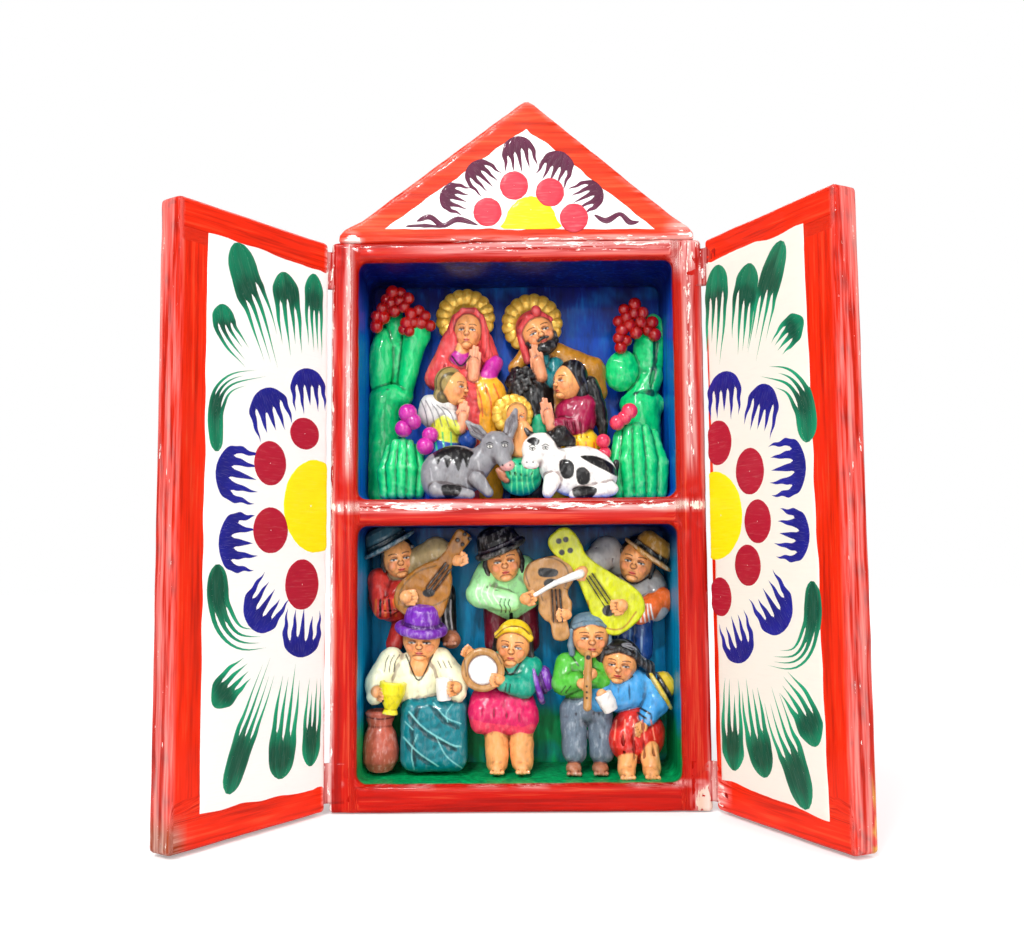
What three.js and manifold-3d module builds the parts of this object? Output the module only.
// Two-story retablo: a painted wooden box with two hinged doors, a gable, and paste figures on two floors.
// Millimetres, +Z up. The open front faces -Y. The origin is under the middle of the case's underside.
import * as THREE from "three";
import { mergeVertices } from "three/addons/utils/BufferGeometryUtils.js";
import Module from "manifold-3d";

const wasm = await Module();
wasm.setup();

// Case
const caseWidth = 80;
const caseHeight = 121.3;
const nicheDepth = 24.5;
const backThickness = 3.5;
const leftWall = 5.7;
const rightWall = 6.2;
const headerThickness = 4.3;
const bottomThickness = 5.75;
const shelfThickness = 5.7;
const lowerClearHeight = 54;
const topCornerRadius = 1.6;

// Gable
const gableRise = 31.9;
const gableThickness = 6;
const apexOffset = 2.7;
const eaveInset = 1.4;
const eaveRun = 5;

// Doors and their leather straps
const doorThickness = 5.8;
const doorFloorGap = 0.45;
const doorTopGap = 0.3;
const hingeGap = 0.35;
const doorMeetingGap = 0.9;
const doorCornerRadius = 0.8;
const leftDoorOpen = 123.9;
const rightDoorOpen = 116.9;
const strapHeight = 8.5;
const strapThickness = 0.6;
const strapLeg = 4.4;
const strapEndDistance = 2;
const strapClearance = 0.3;

// Paste figures
const figureInset = 0.6;
const pasteGap = 0.3;
const headHalf = [4.3, 3.9, 4.8];
const smallHeadHalf = [4.1, 3.8, 4.7];
const sleeveRadius = 2.5;
const handRadius = 1.8;
const trouserRadius = 2.6;
const fruitRadius = 2.4;
const sideFruitRadius = 2.2;
const bigFruitRadius = 2.1;
const smallFruitRadius = 1.8;
const haloThickness = 1.3;
const instrumentThickness = 2.2;

// Colours, one for each finish
const RED = 0xe0301c;
const BLUE = 0x0a4a9a;
const LEATHER = 0x7a2a18;
const GOLD = 0xd7a528;
const CACTUS = 0x1fbf6a;
const FRUIT_RED = 0xbe1a16;
const FRUIT_PINK = 0xc832a0;
const CORAL = 0xf04a50;
const TAN = 0xb57a30;
const YELLOW = 0xe6dc1e;
const WHITE = 0xf4f2ea;
const GREY = 0x8a8a8c;
const BLACK = 0x1c1a1a;
const PURPLE = 0x7a3aa0;
const TEAL = 0x1a7878;
const MINT = 0xa8f0b0;
const OCHRE = 0xc48a2c;
const CLAY = 0xc06060;
const CRIMSON = 0x9c1838;
const GREEN = 0x4cc050;
const SKY = 0x5ab4e6;

// Places that follow from the sizes above
const caseDepth = nicheDepth + backThickness;
const front = -caseDepth / 2;
const nicheLeft = -caseWidth / 2 + leftWall;
const nicheRight = caseWidth / 2 - rightWall;
const nicheMiddle = (nicheLeft + nicheRight) / 2;
const nicheHalfWidth = (nicheRight - nicheLeft) / 2;
const shelfBottom = bottomThickness + lowerClearHeight;
const upperFloor = shelfBottom + shelfThickness;
const upperClearHeight = caseHeight - headerThickness - upperFloor;
const doorWidth = caseWidth / 2 - hingeGap - doorMeetingGap / 2;
const doorHeight = caseHeight - doorFloorGap - doorTopGap;
const strapHeights = {
  lower: strapEndDistance,
  upper: caseHeight - strapEndDistance - strapHeight,
};

// Turns a closed three.js geometry into a solid that can be cut and joined.
function toSolid(geometry) {
  const bare = geometry.index ? geometry.toNonIndexed() : geometry;
  bare.deleteAttribute("normal");
  bare.deleteAttribute("uv");
  const merged = mergeVertices(bare, 1e-4);
  return new wasm.Manifold(
    new wasm.Mesh({
      numProp: 3,
      vertProperties: new Float32Array(merged.attributes.position.array),
      triVerts: new Uint32Array(merged.index.array),
    }),
  );
}

// Turns a solid back into a geometry with flat faces.
function toGeometry(solid) {
  const mesh = solid.getMesh();
  const indexed = new THREE.BufferGeometry();
  const points = new Float32Array(mesh.numVert * 3);
  for (let i = 0; i < mesh.numVert; i++) {
    points.set(mesh.vertProperties.subarray(i * mesh.numProp, i * mesh.numProp + 3), i * 3);
  }
  indexed.setAttribute("position", new THREE.BufferAttribute(points, 3));
  indexed.setIndex(new THREE.BufferAttribute(mesh.triVerts, 1));
  const flat = indexed.toNonIndexed();
  flat.computeVertexNormals();
  return flat;
}

// A box between two opposite corners.
function boxBetween(low, high) {
  const size = high.map((value, axis) => value - low[axis]);
  const middle = high.map((value, axis) => (value + low[axis]) / 2);
  return new THREE.BoxGeometry(...size).translate(...middle);
}

// Points of a polygon whose corners are rounded, each with its own radius.
function roundedCorners(corners, radii, steps = 4) {
  const points = [];
  corners.forEach((corner, i) => {
    const before = corners[(i + corners.length - 1) % corners.length];
    const after = corners[(i + 1) % corners.length];
    const radius = radii[i];
    if (!radius) {
      points.push(new THREE.Vector2(...corner));
      return;
    }
    const here = new THREE.Vector2(...corner);
    const back = new THREE.Vector2(...before).sub(here).normalize();
    const ahead = new THREE.Vector2(...after).sub(here).normalize();
    const half = Math.acos(THREE.MathUtils.clamp(back.dot(ahead), -1, 1)) / 2;
    const reach = radius / Math.tan(half);
    const start = here.clone().addScaledVector(back, reach);
    const end = here.clone().addScaledVector(ahead, reach);
    const curve = new THREE.QuadraticBezierCurve(start, here, end);
    points.push(...curve.getPoints(steps));
  });
  return points;
}

// An outline in X and Z made into a board that runs in Y from one depth to another.
function board(points, from, to) {
  const shape = new THREE.Shape(points);
  const geometry = new THREE.ExtrudeGeometry(shape, { depth: to - from, bevelEnabled: false });
  return geometry.rotateX(Math.PI / 2).translate(0, to, 0);
}

// An outline in X and Y made into a column that runs in Z from one height to another.
function column(points, from, to) {
  const shape = new THREE.Shape(points);
  return new THREE.ExtrudeGeometry(shape, { depth: to - from, bevelEnabled: false }).translate(0, 0, from);
}

// One named mesh with its own material.
function piece(name, geometry, color, roughness = 0.45) {
  const material = new THREE.MeshStandardMaterial({ color, roughness, metalness: 0 });
  const mesh = new THREE.Mesh(geometry, material);
  mesh.name = name;
  return mesh;
}

// The outer edge of a side board, with its recesses for the two straps.
function sideBoard(name, side) {
  const outer = (side * caseWidth) / 2;
  const inner = side < 0 ? nicheLeft : nicheRight;
  const corners = [
    [outer, 0],
    [inner, 0],
    [inner, caseHeight],
    [outer, caseHeight],
  ];
  const outline = roundedCorners(corners, [0, 0, 0, topCornerRadius]);
  if (side > 0) outline.reverse();
  let solid = toSolid(board(outline, front, front + nicheDepth));
  for (const bottom of Object.values(strapHeights)) {
    const reach = outer - side * (strapLeg + strapClearance);
    const past = outer + side;
    const low = [Math.min(reach, past), front - 1, bottom - strapClearance];
    const high = [Math.max(reach, past), front + strapThickness, bottom + strapHeight + strapClearance];
    solid = solid.subtract(toSolid(boxBetween(low, high)));
  }
  return piece(name, toGeometry(solid), RED);
}

// A board that lies between the two sides.
function crossBoard(name, bottom, top) {
  const low = [nicheLeft, front, bottom];
  const high = [nicheRight, front + nicheDepth, top];
  return piece(name, boxBetween(low, high), RED);
}

function backPanel() {
  const low = [-caseWidth / 2, front + nicheDepth, 0];
  const high = [caseWidth / 2, front + caseDepth, caseHeight];
  return piece("back_panel", boxBetween(low, high), BLUE);
}

// The height of the gable's edge above the case at a place across it.
function slopeAt(x) {
  const run = x < apexOffset ? caseWidth / 2 + apexOffset : caseWidth / 2 - apexOffset;
  return (gableRise * (run - Math.abs(x - apexOffset))) / run;
}

// The gable stands on the header, flush with the front, with rounded eaves.
function gableBoard() {
  const outline = [];
  for (const side of [1, -1]) {
    const eave = side * (caseWidth / 2 - eaveInset);
    const inward = eave - side * eaveRun;
    const curve = new THREE.QuadraticBezierCurve(
      new THREE.Vector2(eave, caseHeight),
      new THREE.Vector2(eave, caseHeight + slopeAt(eave)),
      new THREE.Vector2(inward, caseHeight + slopeAt(inward)),
    );
    const points = curve.getPoints(5);
    outline.push(...(side > 0 ? points : points.reverse()));
    if (side > 0) outline.push(new THREE.Vector2(apexOffset, caseHeight + gableRise));
  }
  return piece("gable_board", board(outline, front, front + gableThickness), RED);
}

// A door in its own frame: X runs from the hinge to the free edge, and the outer face is at side * Y.
function doorPanel(name, side) {
  const innerFace = side * hingeGap;
  const outerFace = side * (hingeGap + doorThickness);
  const farEdge = hingeGap + doorWidth;
  const corners = [
    [hingeGap, innerFace],
    [farEdge, innerFace],
    [farEdge, outerFace],
    [hingeGap, outerFace],
  ];
  const outline = roundedCorners(corners, [0, doorCornerRadius, doorCornerRadius, doorCornerRadius], 2);
  if (side < 0) outline.reverse();
  let solid = toSolid(column(outline, doorFloorGap, doorFloorGap + doorHeight));
  const recess = side * (hingeGap + strapThickness + strapClearance);
  for (const bottom of Object.values(strapHeights)) {
    const low = [-1, Math.min(-side, recess), bottom - strapClearance];
    const high = [strapLeg + strapClearance, Math.max(-side, recess), bottom + strapHeight + strapClearance];
    solid = solid.subtract(toSolid(boxBetween(low, high)));
  }
  return piece(name, toGeometry(solid), RED);
}

// The hinge line of a door: its pivot and how its own X axis points in the case's frame.
function hinge(side) {
  const open = side < 0 ? -leftDoorOpen : rightDoorOpen - 180;
  return { x: (side * caseWidth) / 2, y: front, turn: THREE.MathUtils.degToRad(open) };
}

function door(name, side) {
  const { x, y, turn } = hinge(side);
  const group = new THREE.Group();
  group.position.set(x, y, 0);
  group.rotation.z = turn;
  group.add(doorPanel(name, side));
  return group;
}

// A strap lies in the case's recess, bends round the hinge line and lies in the door's recess.
function strap(name, side, bottom) {
  const { x, y, turn } = hinge(side);
  const onDoor = (along, through) => {
    const point = new THREE.Vector2(along, side * through).rotateAround(new THREE.Vector2(), turn);
    return [x + point.x, y + point.y];
  };
  const bendAt = (depth) => {
    const [ax, ay] = onDoor(0, hingeGap + depth);
    const [bx, by] = onDoor(1, hingeGap + depth);
    const share = (y + depth - ay) / (by - ay);
    return [ax + share * (bx - ax), y + depth];
  };
  const end = x - side * strapLeg;
  const corners = [
    [end, y],
    bendAt(0),
    onDoor(strapLeg, hingeGap),
    onDoor(strapLeg, hingeGap + strapThickness),
    bendAt(strapThickness),
    [end, y + strapThickness],
  ];
  const outline = corners.map((corner) => new THREE.Vector2(...corner));
  if (THREE.ShapeUtils.isClockWise(outline)) outline.reverse();
  return piece(name, column(outline, bottom, bottom + strapHeight), LEATHER, 0.6);
}

// Lumps of paste. Each is a function of how much it grows on all sides, in a story's own frame:
// X to the right of the niche's middle, Y into the niche from the front, Z up from its floor.
// Small lumps have fewer sides than large ones.
const SMALL_LUMP = 2.3;
const limbEnd = 0.85;

// The niches for which the figures' places are given. In other niches the figures stretch with them.
const LAYOUT = { halfWidth: 34.05, depth: 24.5, lower: 54, upper: 51.55 };

const lumpSides = (radius) => (radius < SMALL_LUMP ? 5 : 6);

function ball(at, half, lean = 0) {
  return (grow) => {
    const sides = lumpSides(Math.max(...half));
    const sphere = new THREE.SphereGeometry(1, sides, sides - 1).rotateX(Math.PI / 2);
    const [x, y, z] = half.map((value) => value + grow);
    return toSolid(sphere.scale(x, y, z).rotateY(THREE.MathUtils.degToRad(lean)).translate(...at));
  };
}

function limb(from, to, startRadius, endRadius = startRadius) {
  return (grow) => {
    const a = new THREE.Vector3(...from);
    const b = new THREE.Vector3(...to);
    const first = startRadius + grow;
    const last = endRadius + grow;
    const length = a.distanceTo(b);
    const profile = [
      [0, -first * limbEnd],
      [first, 0],
      [last, length],
      [0, length + last * limbEnd],
    ].map((point) => new THREE.Vector2(...point));
    const turned = new THREE.LatheGeometry(profile, lumpSides(startRadius));
    const along = b.clone().sub(a).normalize();
    const aim = new THREE.Quaternion().setFromUnitVectors(new THREE.Vector3(0, 1, 0), along);
    return toSolid(turned.applyQuaternion(aim).translate(a.x, a.y, a.z));
  };
}

// A turning profile from the axis to the axis, moved out by a distance at right angles to its edges.
function grownProfile(profile, grow) {
  const heights = profile.map((point) => point[1]);
  const top = heights.indexOf(Math.max(...heights));
  const outer = [...profile.slice(0, top + 1), [0, heights[top]]].map((point) => new THREE.Vector2(...point));
  const normal = (a, b) => new THREE.Vector2(b.y - a.y, a.x - b.x).normalize();
  return outer.map((point, i) => {
    if (i === 0) return new THREE.Vector2(0, point.y - grow);
    if (i === outer.length - 1) return new THREE.Vector2(0, point.y + grow);
    const before = normal(outer[i - 1], point);
    const miter = before.clone().add(normal(point, outer[i + 1])).normalize();
    return point.clone().addScaledVector(miter, grow / Math.max(miter.dot(before), 0.4));
  });
}

// A turned shape about an upright axis, which may be tipped to the right or to the back.
// Grown, it has no hollow, so that nothing beside it reaches into its mouth.
function turned(at, profile, { right = 0, back = 0, sides = 12, flat = 1 } = {}) {
  return (grow) => {
    const points = grow ? grownProfile(profile, grow) : profile.map((point) => new THREE.Vector2(...point));
    const shape = new THREE.LatheGeometry(points, sides).rotateX(Math.PI / 2).scale(1, flat, 1);
    shape.rotateX(THREE.MathUtils.degToRad(-back)).rotateY(THREE.MathUtils.degToRad(right));
    return toSolid(shape.translate(...at));
  };
}

// A flat plate whose half widths are given at places along its axis, as on an instrument's body.
function plate(at, stations, thickness, lean) {
  return (grow) => {
    const ends = [stations[0][0], stations[stations.length - 1][0]];
    const outline = [];
    for (const [along, half] of stations) outline.push([half + grow, along]);
    for (const [along, half] of [...stations].reverse()) outline.push([-half - grow, along]);
    const points = outline.map(([x, z]) => {
      const past = z === ends[0] ? -grow : z === ends[1] ? grow : 0;
      return new THREE.Vector2(x, z + past);
    });
    const shape = board(points, -thickness / 2 - grow, thickness / 2 + grow);
    return toSolid(shape.rotateY(THREE.MathUtils.degToRad(lean)).translate(...at));
  };
}

function fuse(lumps, grow = 0) {
  return lumps.map((lump) => lump(grow)).reduce((whole, lump) => whole.add(lump));
}

// A hat is one turned solid: a brim and a crown.
function hat(at, brim, crown, height, tilt) {
  const profile = [
    [0, -0.9],
    [brim, -0.5],
    [brim, 0.4],
    [crown, 0.6],
    [crown * 0.92, height * 0.7],
    [crown * 0.6, height],
    [0, height],
  ];
  return [turned(at, profile, { sides: 12, ...tilt })];
}

// An arm: a sleeve from the shoulder to the elbow, and a forearm that ends in the hand.
function arm(shoulder, elbow, hand, sleeve = sleeveRadius) {
  return [
    limb(shoulder, elbow, sleeve),
    limb(elbow, hand, sleeve * 0.85, handRadius),
  ];
}

// A scalloped halo: a disc whose edge is a row of round lobes.
function halo(at, radius, lobes) {
  const notch = 0.88;
  const pointsPerLobe = 3;
  return [
    (grow) => {
      const outline = [];
      for (let i = 0; i < lobes * pointsPerLobe; i++) {
        const angle = (i / (lobes * pointsPerLobe)) * 2 * Math.PI;
        const reach = (i % pointsPerLobe ? radius : radius * notch) + grow;
        outline.push(new THREE.Vector2(reach * Math.cos(angle), reach * Math.sin(angle)));
      }
      const depth = haloThickness / 2 + grow;
      return toSolid(board(outline, -depth, depth).translate(...at));
    },
  ];
}

// A cactus of upright ribs side by side.
function ribbedCactus(at, height, ribs, pitch, radius) {
  const parts = [];
  for (let i = 0; i < ribs; i++) {
    const off = i - (ribs - 1) / 2;
    const lower = height * 0.11 * Math.abs(off);
    const depth = at[1] + 0.5 * Math.abs(off);
    const foot = [at[0] + off * pitch, depth, at[2] + radius];
    const tip = [at[0] + off * pitch * 0.82, depth, at[2] + height - radius - lower];
    parts.push(limb(foot, tip, radius, radius * 0.92));
  }
  return parts;
}

function fruitCluster(depth, places, radius) {
  return places.map(([x, z]) => ball([x, depth, z], [radius, radius, radius]));
}

// A long skirt or robe that stands on the floor.
function robe(at, halfWidth, halfDepth, height) {
  const profile = [
    [0, 0],
    [halfWidth, 0],
    [halfWidth * 0.96, height * 0.6],
    [halfWidth * 0.7, height * 0.92],
    [0, height],
  ];
  return turned(at, profile, { sides: 10, flat: halfDepth / halfWidth });
}

// Places of the cactus fruits, across and up
const tallLeftFruit = [[-31.4, 43.2], [-29.6, 46.2], [-26.8, 48], [-24.4, 46.8]];
const tallLeftSideFruit = [[-23.4, 42.4], [-21.4, 44], [-19.8, 41.6]];
const tallRightFruit = [[28.6, 45], [30.8, 42.2], [26.2, 43.2], [25.2, 39.8]];
const smallLeftFruit = [[-24, 19.2], [-25.1, 16.2]];
const smallLeftSideFruit = [[-20.4, 12.5], [-19.1, 14.6]];
const smallRightFruit = [[25.6, 18.8], [22.8, 16.4]];
const smallRightSideFruit = [[19, 13.1], [19.3, 10.5]];

// Upper story, from front to back
const upperFigures = [
  ["donkey", GREY, [
    ball([-13.2, 5.4, 6], [7.1, 3.5, 5.5]),
    limb([-8, 5.2, 8.4], [-4.6, 4.8, 10.6], 3, 2.4),
    ball([-4, 4.2, 10.8], [3.1, 2.5, 3.9], 10),
    ball([-2.8, 3.4, 7.6], [2.1, 1.9, 2]),
    limb([-6.4, 5, 13.4], [-9.4, 5.4, 16.2], 1.5, 1),
    limb([-2.6, 5, 13.8], [-1.4, 5.4, 18], 1.5, 1),
    limb([-10.6, 4.4, 2.4], [-4, 2.6, 1.3], 1.5, 1.2),
    limb([-19, 3.6, 1.8], [-13.5, 2.8, 1.3], 1.6, 1.1),
  ]],
  ["ox", WHITE, [
    ball([13.6, 5.4, 5.8], [7.9, 3.6, 5.5]),
    limb([9, 5.2, 8.2], [5.6, 4.8, 10.4], 3.4, 2.8),
    ball([4.2, 4.2, 10.2], [3, 2.6, 4.1], -10),
    ball([8.6, 5.6, 11.8], [3.4, 2.2, 2.6]),
    ball([2.6, 4.8, 13.5], [1.7, 0.9, 1]),
    ball([6.2, 4.8, 13.9], [1.4, 0.9, 1]),
    limb([10.8, 4.4, 2.4], [4.8, 2.6, 1.3], 1.5, 1.2),
    limb([19.6, 3.6, 1.8], [14, 2.8, 1.3], 1.6, 1.1),
  ]],
  ["infant_figure", CORAL, [
    ball([0.8, 6.2, 4.6], [4.4, 3.2, 4.6]),
    limb([1.2, 7, 8], [1.4, 7.4, 14], 2.4, 2),
    ball([0.9, 7.6, 17], [2.3, 2.2, 2.6], 8),
  ]],
  ["infant_halo", GOLD, halo([-0.7, 10.4, 19.4], 4.4, 9)],
  ["small_cactus_left_fruit", FRUIT_PINK, fruitCluster(8.4, smallLeftFruit, bigFruitRadius)],
  ["small_cactus_left_side_fruit", FRUIT_PINK, fruitCluster(7.6, smallLeftSideFruit, smallFruitRadius)],
  ["small_cactus_right_fruit", CORAL, fruitCluster(8.4, smallRightFruit, bigFruitRadius)],
  ["small_cactus_right_side_fruit", CORAL, fruitCluster(7.6, smallRightSideFruit, smallFruitRadius)],
  ["small_cactus_left", CACTUS, ribbedCactus([-25.5, 9.4, 0], 14.6, 5, 1.75, 1.8)],
  ["small_cactus_right", CACTUS, ribbedCactus([27.3, 9.6, 0], 18.8, 5, 2.1, 2.1)],
  ["kneeling_man", OCHRE, [
    ball([-15.2, 10.6, 25.7], [4.1, 3.6, 4.2]),
    ball([-17, 12, 19], [4.7, 3.8, 5.3]),
    robe([-15.6, 12.4, 0], 5.5, 3.6, 16.5),
    ...arm([-19.4, 11.6, 20.4], [-18, 10, 15.8], [-13.2, 8.8, 16.8]),
    ball([-12.2, 8.6, 18.8], [1.5, 1.3, 3]),
  ]],
  ["kneeling_woman", CRIMSON, [
    ball([13.4, 10.6, 26.4], [4.4, 3.8, 4.4]),
    ball([13.7, 12, 18.6], [4.9, 3.8, 5.5]),
    robe([14.2, 12.4, 0], 5.4, 3.6, 16),
    limb([17.2, 12, 23.6], [19.2, 12, 14.4], 1.9, 1.3),
    ...arm([16.6, 11.6, 20.4], [14.2, 10, 15.6], [8.8, 8.8, 17]),
    ball([7.4, 8.6, 19], [1.5, 1.3, 3]),
  ]],
  ["mother_figure", CORAL, [
    ball([-10.9, 15.6, 39.2], smallHeadHalf),
    limb([-11.6, 16.8, 30], [-11, 16, 36], 3.4, 3),
    ball([-12.4, 17.4, 30.4], [6.9, 4.4, 6.8], 6),
    ball([-6.8, 14.8, 23.4], [4.8, 3.8, 5.8], -10),
    robe([-11.6, 18, 0], 6.8, 4.2, 28),
    ...arm([-16.4, 16.6, 30.6], [-13.8, 14.4, 27], [-10, 13.4, 29.4]),
    ...arm([-6.4, 16.4, 31], [-4.8, 14.6, 27.6], [-8.4, 13.4, 29.4]),
    ball([-9.2, 13, 31.4], [1.5, 1.3, 3]),
  ]],
  ["father_figure", OCHRE, [
    ball([5.2, 15.6, 38.2], smallHeadHalf, -22),
    limb([7, 16.6, 30], [6, 16, 35], 3, 2.6),
    ball([10.2, 17.6, 28.6], [9.3, 4.4, 6.5], -6),
    ball([2.7, 16, 25.8], [4.6, 4, 5.6]),
    robe([7.4, 18, 0], 7.8, 4.2, 27),
    ...arm([10, 15.8, 31], [9.6, 14.4, 26.6], [5.6, 13.4, 29]),
    ball([4.6, 13, 31.6], [1.6, 1.3, 3], 8),
  ]],
  ["mother_halo", GOLD, halo([-11.9, 19.4, 43.6], 6.9, 15)],
  ["father_halo", GOLD, halo([4, 19.2, 41.9], 7, 15)],
  ["tall_cactus_left_fruit", FRUIT_RED, fruitCluster(16.4, tallLeftFruit, fruitRadius)],
  ["tall_cactus_left_side_fruit", FRUIT_RED, fruitCluster(16.4, tallLeftSideFruit, sideFruitRadius)],
  ["tall_cactus_right_fruit", FRUIT_RED, fruitCluster(15.8, tallRightFruit, fruitRadius)],
  ["tall_cactus_left", CACTUS, [
    limb([-30.6, 18.6, 3.4], [-30.4, 18.6, 23.4], 4.2, 3.9),
    ball([-28.4, 18.4, 26.2], [5.2, 3, 4.8]),
    ball([-31, 18.2, 34.6], [3.1, 2.4, 7.8], -4),
    ball([-28, 19.2, 37.6], [2.9, 2.2, 10.4], 3),
    limb([-25.4, 18.8, 28.6], [-22.8, 18.8, 39.6], 2.4, 2.8),
  ]],
  ["tall_cactus_right", CACTUS, [
    limb([28.8, 18.4, 4.2], [28.8, 18.4, 21.6], 4.9, 4.5),
    ball([24.4, 17.2, 29.8], [3.9, 2.4, 5]),
    limb([27.8, 18.2, 23], [29.4, 18.4, 30], 3.9, 3.2),
    ball([29.8, 18.4, 34.6], [4, 2.3, 7.8], 8),
  ]],
];

// Instruments: half widths along the axis, from the tail to the end of the head
const guitarStations = [
  [-6.4, 1.8], [-5, 3.9], [-1.8, 5], [1.4, 4.2], [4.4, 2.7], [6, 1.5], [10, 1.4], [11, 2.3], [15, 2.1], [15.8, 0.9],
];
const yellowGuitarStations = [
  [-7.2, 2.2], [-5.4, 4.3], [-2.2, 5.1], [2, 3.9], [5.6, 2.5], [8.6, 1.8], [12, 2.6], [15.6, 3], [18.4, 2], [19.2, 0.8],
];
const fiddleStations = [
  [-4.2, 1.8], [-2.8, 4], [0, 4.8], [2.8, 3.9], [4.6, 3.3], [6.4, 3.4], [8.6, 2], [12, 1.6], [13.2, 0.8],
];

// Turned shapes: radius and height from the foot up
const potProfile = [
  [0, 0], [2.7, 0], [3.9, 2.4], [4.1, 5], [3.3, 8.4], [2.5, 10.4], [3.4, 13.2], [2.7, 13.5], [1.6, 11.4], [0, 11.2],
];
const jugProfile = [[0, 0], [1.9, 0], [1.6, 1.3], [2.6, 3], [2.9, 7.2], [2.2, 7.3], [1.8, 5], [0, 4.8]];
const cupProfile = [[0, 0], [1.6, 0], [1.9, 2.4], [1.9, 4.8], [1.4, 4.9], [1.2, 3.4], [0, 3.2]];
const drumProfile = [[0, -1.1], [4.2, -1.1], [4.7, -0.6], [4.7, 0.9], [4, 1.2], [3.2, 0.9], [0, 0.9]];

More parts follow.
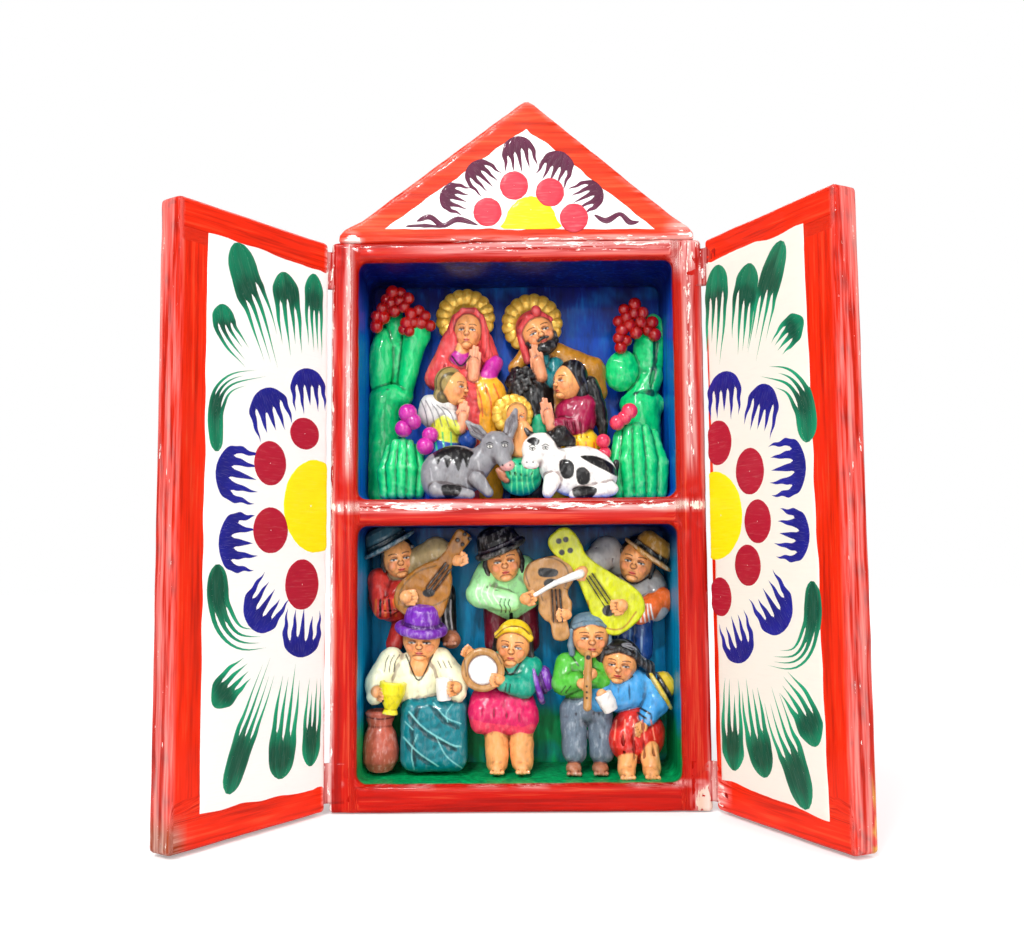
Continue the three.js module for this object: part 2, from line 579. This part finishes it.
// Lower story, from front to back
const lowerFigures = [
  ["seated_woman_cup", WHITE, [turned([-15.9, 7.2, 16.9], cupProfile)]],
  ["jug", YELLOW, [turned([-27.4, 7.8, 14], jugProfile)]],
  ["flute", TAN, [limb([15, 6.4, 26.6], [14.5, 5, 16.4], 1.3, 1.2)]],
  ["cup_woman_cup", WHITE, [turned([19.7, 6.2, 13.9], cupProfile.map(([r, z]) => [r * 1.05, z * 0.85]), { right: -26 })]],
  ["drum", TAN, [turned([-7.9, 7.4, 22.9], drumProfile, { back: -90, sides: 16 })]],
  ["drum_woman_hat", PURPLE, hat([3.2, 12.6, 20.4], 4.9, 3, 3.2, { right: 74 })],
  ["cup_woman_hat", YELLOW, hat([29.9, 12, 18], 5.2, 2.9, 3.6, { right: 62 })],
  ["seated_woman_hat", PURPLE, hat([-21.1, 11.6, 32.4], 5.8, 3.7, 4.8, { right: 8, back: 8 })],
  ["fiddle_bow", WHITE, [limb([3.9, 8.2, 38.7], [13.4, 8.2, 42.9], 0.55, 1)]],
  ["clay_pot", CLAY, [turned([-29.8, 11, 0], potProfile)]],
  ["seated_woman", TEAL, [
    ball([-21.2, 11.2, 29.2], headHalf, 4),
    limb([-21.8, 12, 24.4], [-21.4, 11.6, 27], 3, 2.4),
    ball([-22.3, 12.6, 20.4], [7.5, 4.4, 7]),
    robe([-19.1, 12.4, 0], 7.3, 4.6, 17.5),
    ...arm([-28, 12, 22.6], [-30.2, 10.4, 18], [-30.6, 8, 18.2]),
    ...arm([-16, 12, 22.6], [-13.8, 10.6, 17.4], [-13.4, 7.8, 19.6]),
  ]],
  ["drum_woman", GREEN, [
    ball([-1.6, 11.2, 29], [4, 3.8, 4.8], 4),
    ball([-0.9, 12.2, 20.6], [5.3, 4.1, 6.4]),
    ball([-3.9, 11.4, 14], [7.4, 4.4, 4.6], 12),
    limb([-4.5, 11, 10], [-4.5, 10.6, 2.4], trouserRadius),
    limb([0.7, 11, 10], [0.7, 10.6, 2.4], trouserRadius),
    ball([-4.6, 9.6, 2.2], [2.6, 3, 2.2]),
    ball([0.9, 9.6, 2.2], [2.6, 3, 2.2]),
    ...arm([-5, 12.2, 23], [-8.4, 10.8, 24], [-10.2, 8.8, 26.6], 1.8),
    ...arm([2.6, 11.4, 22], [1.4, 9, 18.6], [-3.8, 6.4, 21.4], 1.8),
  ]],
  ["flute_player", GREEN, [
    ball([15.5, 11.2, 29.7], [4.3, 3.9, 4.9]),
    ball([13.6, 12.4, 21.2], [5, 4.1, 6.2]),
    ball([15, 12.8, 13.4], [5.2, 4, 4]),
    limb([12.3, 12.4, 13], [12.2, 11.4, 3], 2.9, 2.7),
    limb([17.4, 12.4, 13], [17.5, 11.4, 3], 2.9, 2.7),
    ball([12, 9.8, 1.4], [2.8, 3, 1.6]),
    ball([17.7, 9.8, 1.4], [2.8, 3, 1.6]),
    ...arm([9.7, 12.2, 23.6], [9.3, 10.8, 18.4], [13, 7.4, 20.6]),
    ...arm([18, 12.2, 23.6], [18.4, 10.8, 19.6], [15.6, 7.4, 22.4]),
  ]],
  ["cup_woman", SKY, [
    ball([22.5, 10.8, 24.2], [4.8, 4, 4.8], 16),
    ball([19.6, 10.6, 21.6], [1.9, 2.6, 4]),
    ball([23.7, 11.6, 16.8], [6.2, 4.1, 6]),
    ball([25.3, 10.6, 9.2], [6, 4.6, 6.4], -8),
    limb([23.8, 8.6, 9], [23.4, 7.4, 2.4], 2.2),
    limb([27.6, 8.6, 9], [28.4, 7.4, 2.4], 2.2),
    ball([23.2, 6.4, 1.9], [2.2, 2.8, 1.9]),
    ball([28.7, 6.4, 1.9], [2.2, 2.8, 1.9]),
    ...arm([19.6, 11.4, 20], [17.2, 9.4, 12.6], [17.9, 7.4, 17.8], 1.8),
    ...arm([28.4, 11.4, 19.4], [30.2, 9.8, 14], [26.6, 7.2, 11.6], 2),
  ]],
  ["left_guitar", TAN, [plate([-19.4, 10.6, 40.2], guitarStations, instrumentThickness, 34)]],
  ["fiddle", TAN, [plate([6.4, 11, 43.2], fiddleStations, instrumentThickness, 166)]],
  ["yellow_guitar", YELLOW, [plate([20.6, 10.6, 37.6], yellowGuitarStations, instrumentThickness, -39)]],
  ["left_strummer_hat", TEAL, hat([-28.8, 14.6, 49.4], 5.7, 3.9, 4.2, { right: -26 })],
  ["fiddler_hat", BLACK, hat([-3.8, 14.4, 48.2], 5.5, 4.1, 4.8, { right: -18 })],
  ["right_strummer_hat", OCHRE, hat([28.6, 14.6, 47.4], 5.6, 3.8, 4.2, { right: 34 })],
  ["left_strummer", CORAL, [
    ball([-26.8, 14.4, 46.4], smallHeadHalf, -24),
    ball([-27, 19, 39.4], [6.8, 6, 6.2]),
    ...arm([-31, 17.4, 42.6], [-31.2, 14.6, 36.6], [-24.6, 11, 38]),
    ...arm([-23.6, 17.4, 44.8], [-17.8, 15, 48.4], [-13.4, 11.4, 46.9], 2.8),
    limb([-20.4, 18.4, 37.4], [-16.4, 17.4, 30.6], 2.4, 2.1),
    limb([-24.4, 18.8, 36.6], [-21.6, 18.2, 30.6], 2.4, 2.1),
    ball([-15.8, 16.6, 28.6], [2.1, 2.6, 1.9]),
  ]],
  ["fiddler", MINT, [
    ball([-3.2, 14.2, 45.6], smallHeadHalf, -18),
    ball([-2.6, 19, 39.2], [7.6, 6, 6.8]),
    ...arm([-8, 17.6, 42], [-7.4, 14.6, 35.8], [1.6, 11, 38]),
    ...arm([2.4, 17.6, 43.6], [7.6, 16, 39.6], [10.2, 12.2, 34], 3),
    limb([-5, 18.8, 34], [-5.2, 18.6, 26.4], 2.9, 2.5),
    limb([0.6, 18.8, 34], [0.8, 18.6, 26.4], 2.9, 2.5),
  ]],
  ["right_strummer", GREY, [
    ball([26.3, 14.2, 45], smallHeadHalf, 30),
    ball([26.6, 19, 39.8], [7.2, 6, 6.6]),
    ...arm([22.6, 17.6, 45.2], [17.4, 15, 48], [14, 11.2, 45], 3.2),
    ...arm([31, 17.4, 42], [30.4, 14.4, 36.6], [23.6, 11, 36.8]),
    limb([24, 18.8, 35], [23.6, 18.6, 26], 2.6, 2.3),
    limb([29, 18.8, 35], [28.6, 18.6, 26], 2.6, 2.3),
  ]],
];

// The largest body of a solid, so that crumbs that a neighbour cuts loose are left off.
function largestBody(solid) {
  const bodies = solid.decompose();
  return bodies.sort((a, b) => b.volume() - a.volume())[0];
}

function boxesMeet(a, b) {
  return a.min.every((low, axis) => low < b.max[axis] && b.min[axis] < a.max[axis]);
}

// Sets a story's figures in its niche: each is trimmed to the niche and makes room for those before it.
function story(figures, floor, clearHeight, layoutHeight) {
  const group = new THREE.Group();
  group.position.set(nicheMiddle, front, floor);
  group.scale.set(nicheHalfWidth / LAYOUT.halfWidth, nicheDepth / LAYOUT.depth, clearHeight / layoutHeight);
  const low = [-LAYOUT.halfWidth, figureInset, 0];
  const high = [LAYOUT.halfWidth, LAYOUT.depth, layoutHeight];
  const niche = toSolid(boxBetween(low, high));
  const placed = [];
  for (const [name, color, lumps] of figures) {
    let solid = fuse(lumps).intersect(niche);
    const box = solid.boundingBox();
    for (const neighbour of placed) {
      if (boxesMeet(box, neighbour.boundingBox())) solid = solid.subtract(neighbour);
    }
    placed.push(fuse(lumps, pasteGap));
    group.add(piece(name, toGeometry(largestBody(solid)), color));
  }
  return group;
}

function retablo() {
  const group = new THREE.Group();
  group.add(
    sideBoard("left_side_board", -1),
    sideBoard("right_side_board", 1),
    crossBoard("bottom_board", 0, bottomThickness),
    crossBoard("shelf_board", shelfBottom, upperFloor),
    crossBoard("header_board", caseHeight - headerThickness, caseHeight),
    backPanel(),
    gableBoard(),
    door("left_door_panel", -1),
    door("right_door_panel", 1),
    story(lowerFigures, bottomThickness, lowerClearHeight, LAYOUT.lower),
    story(upperFigures, upperFloor, upperClearHeight, LAYOUT.upper),
  );
  for (const [sideName, side] of [["left", -1], ["right", 1]]) {
    for (const [level, bottom] of Object.entries(strapHeights)) {
      group.add(strap(`${sideName}_${level}_strap`, side, bottom));
    }
  }
  return group;
}

export default retablo();
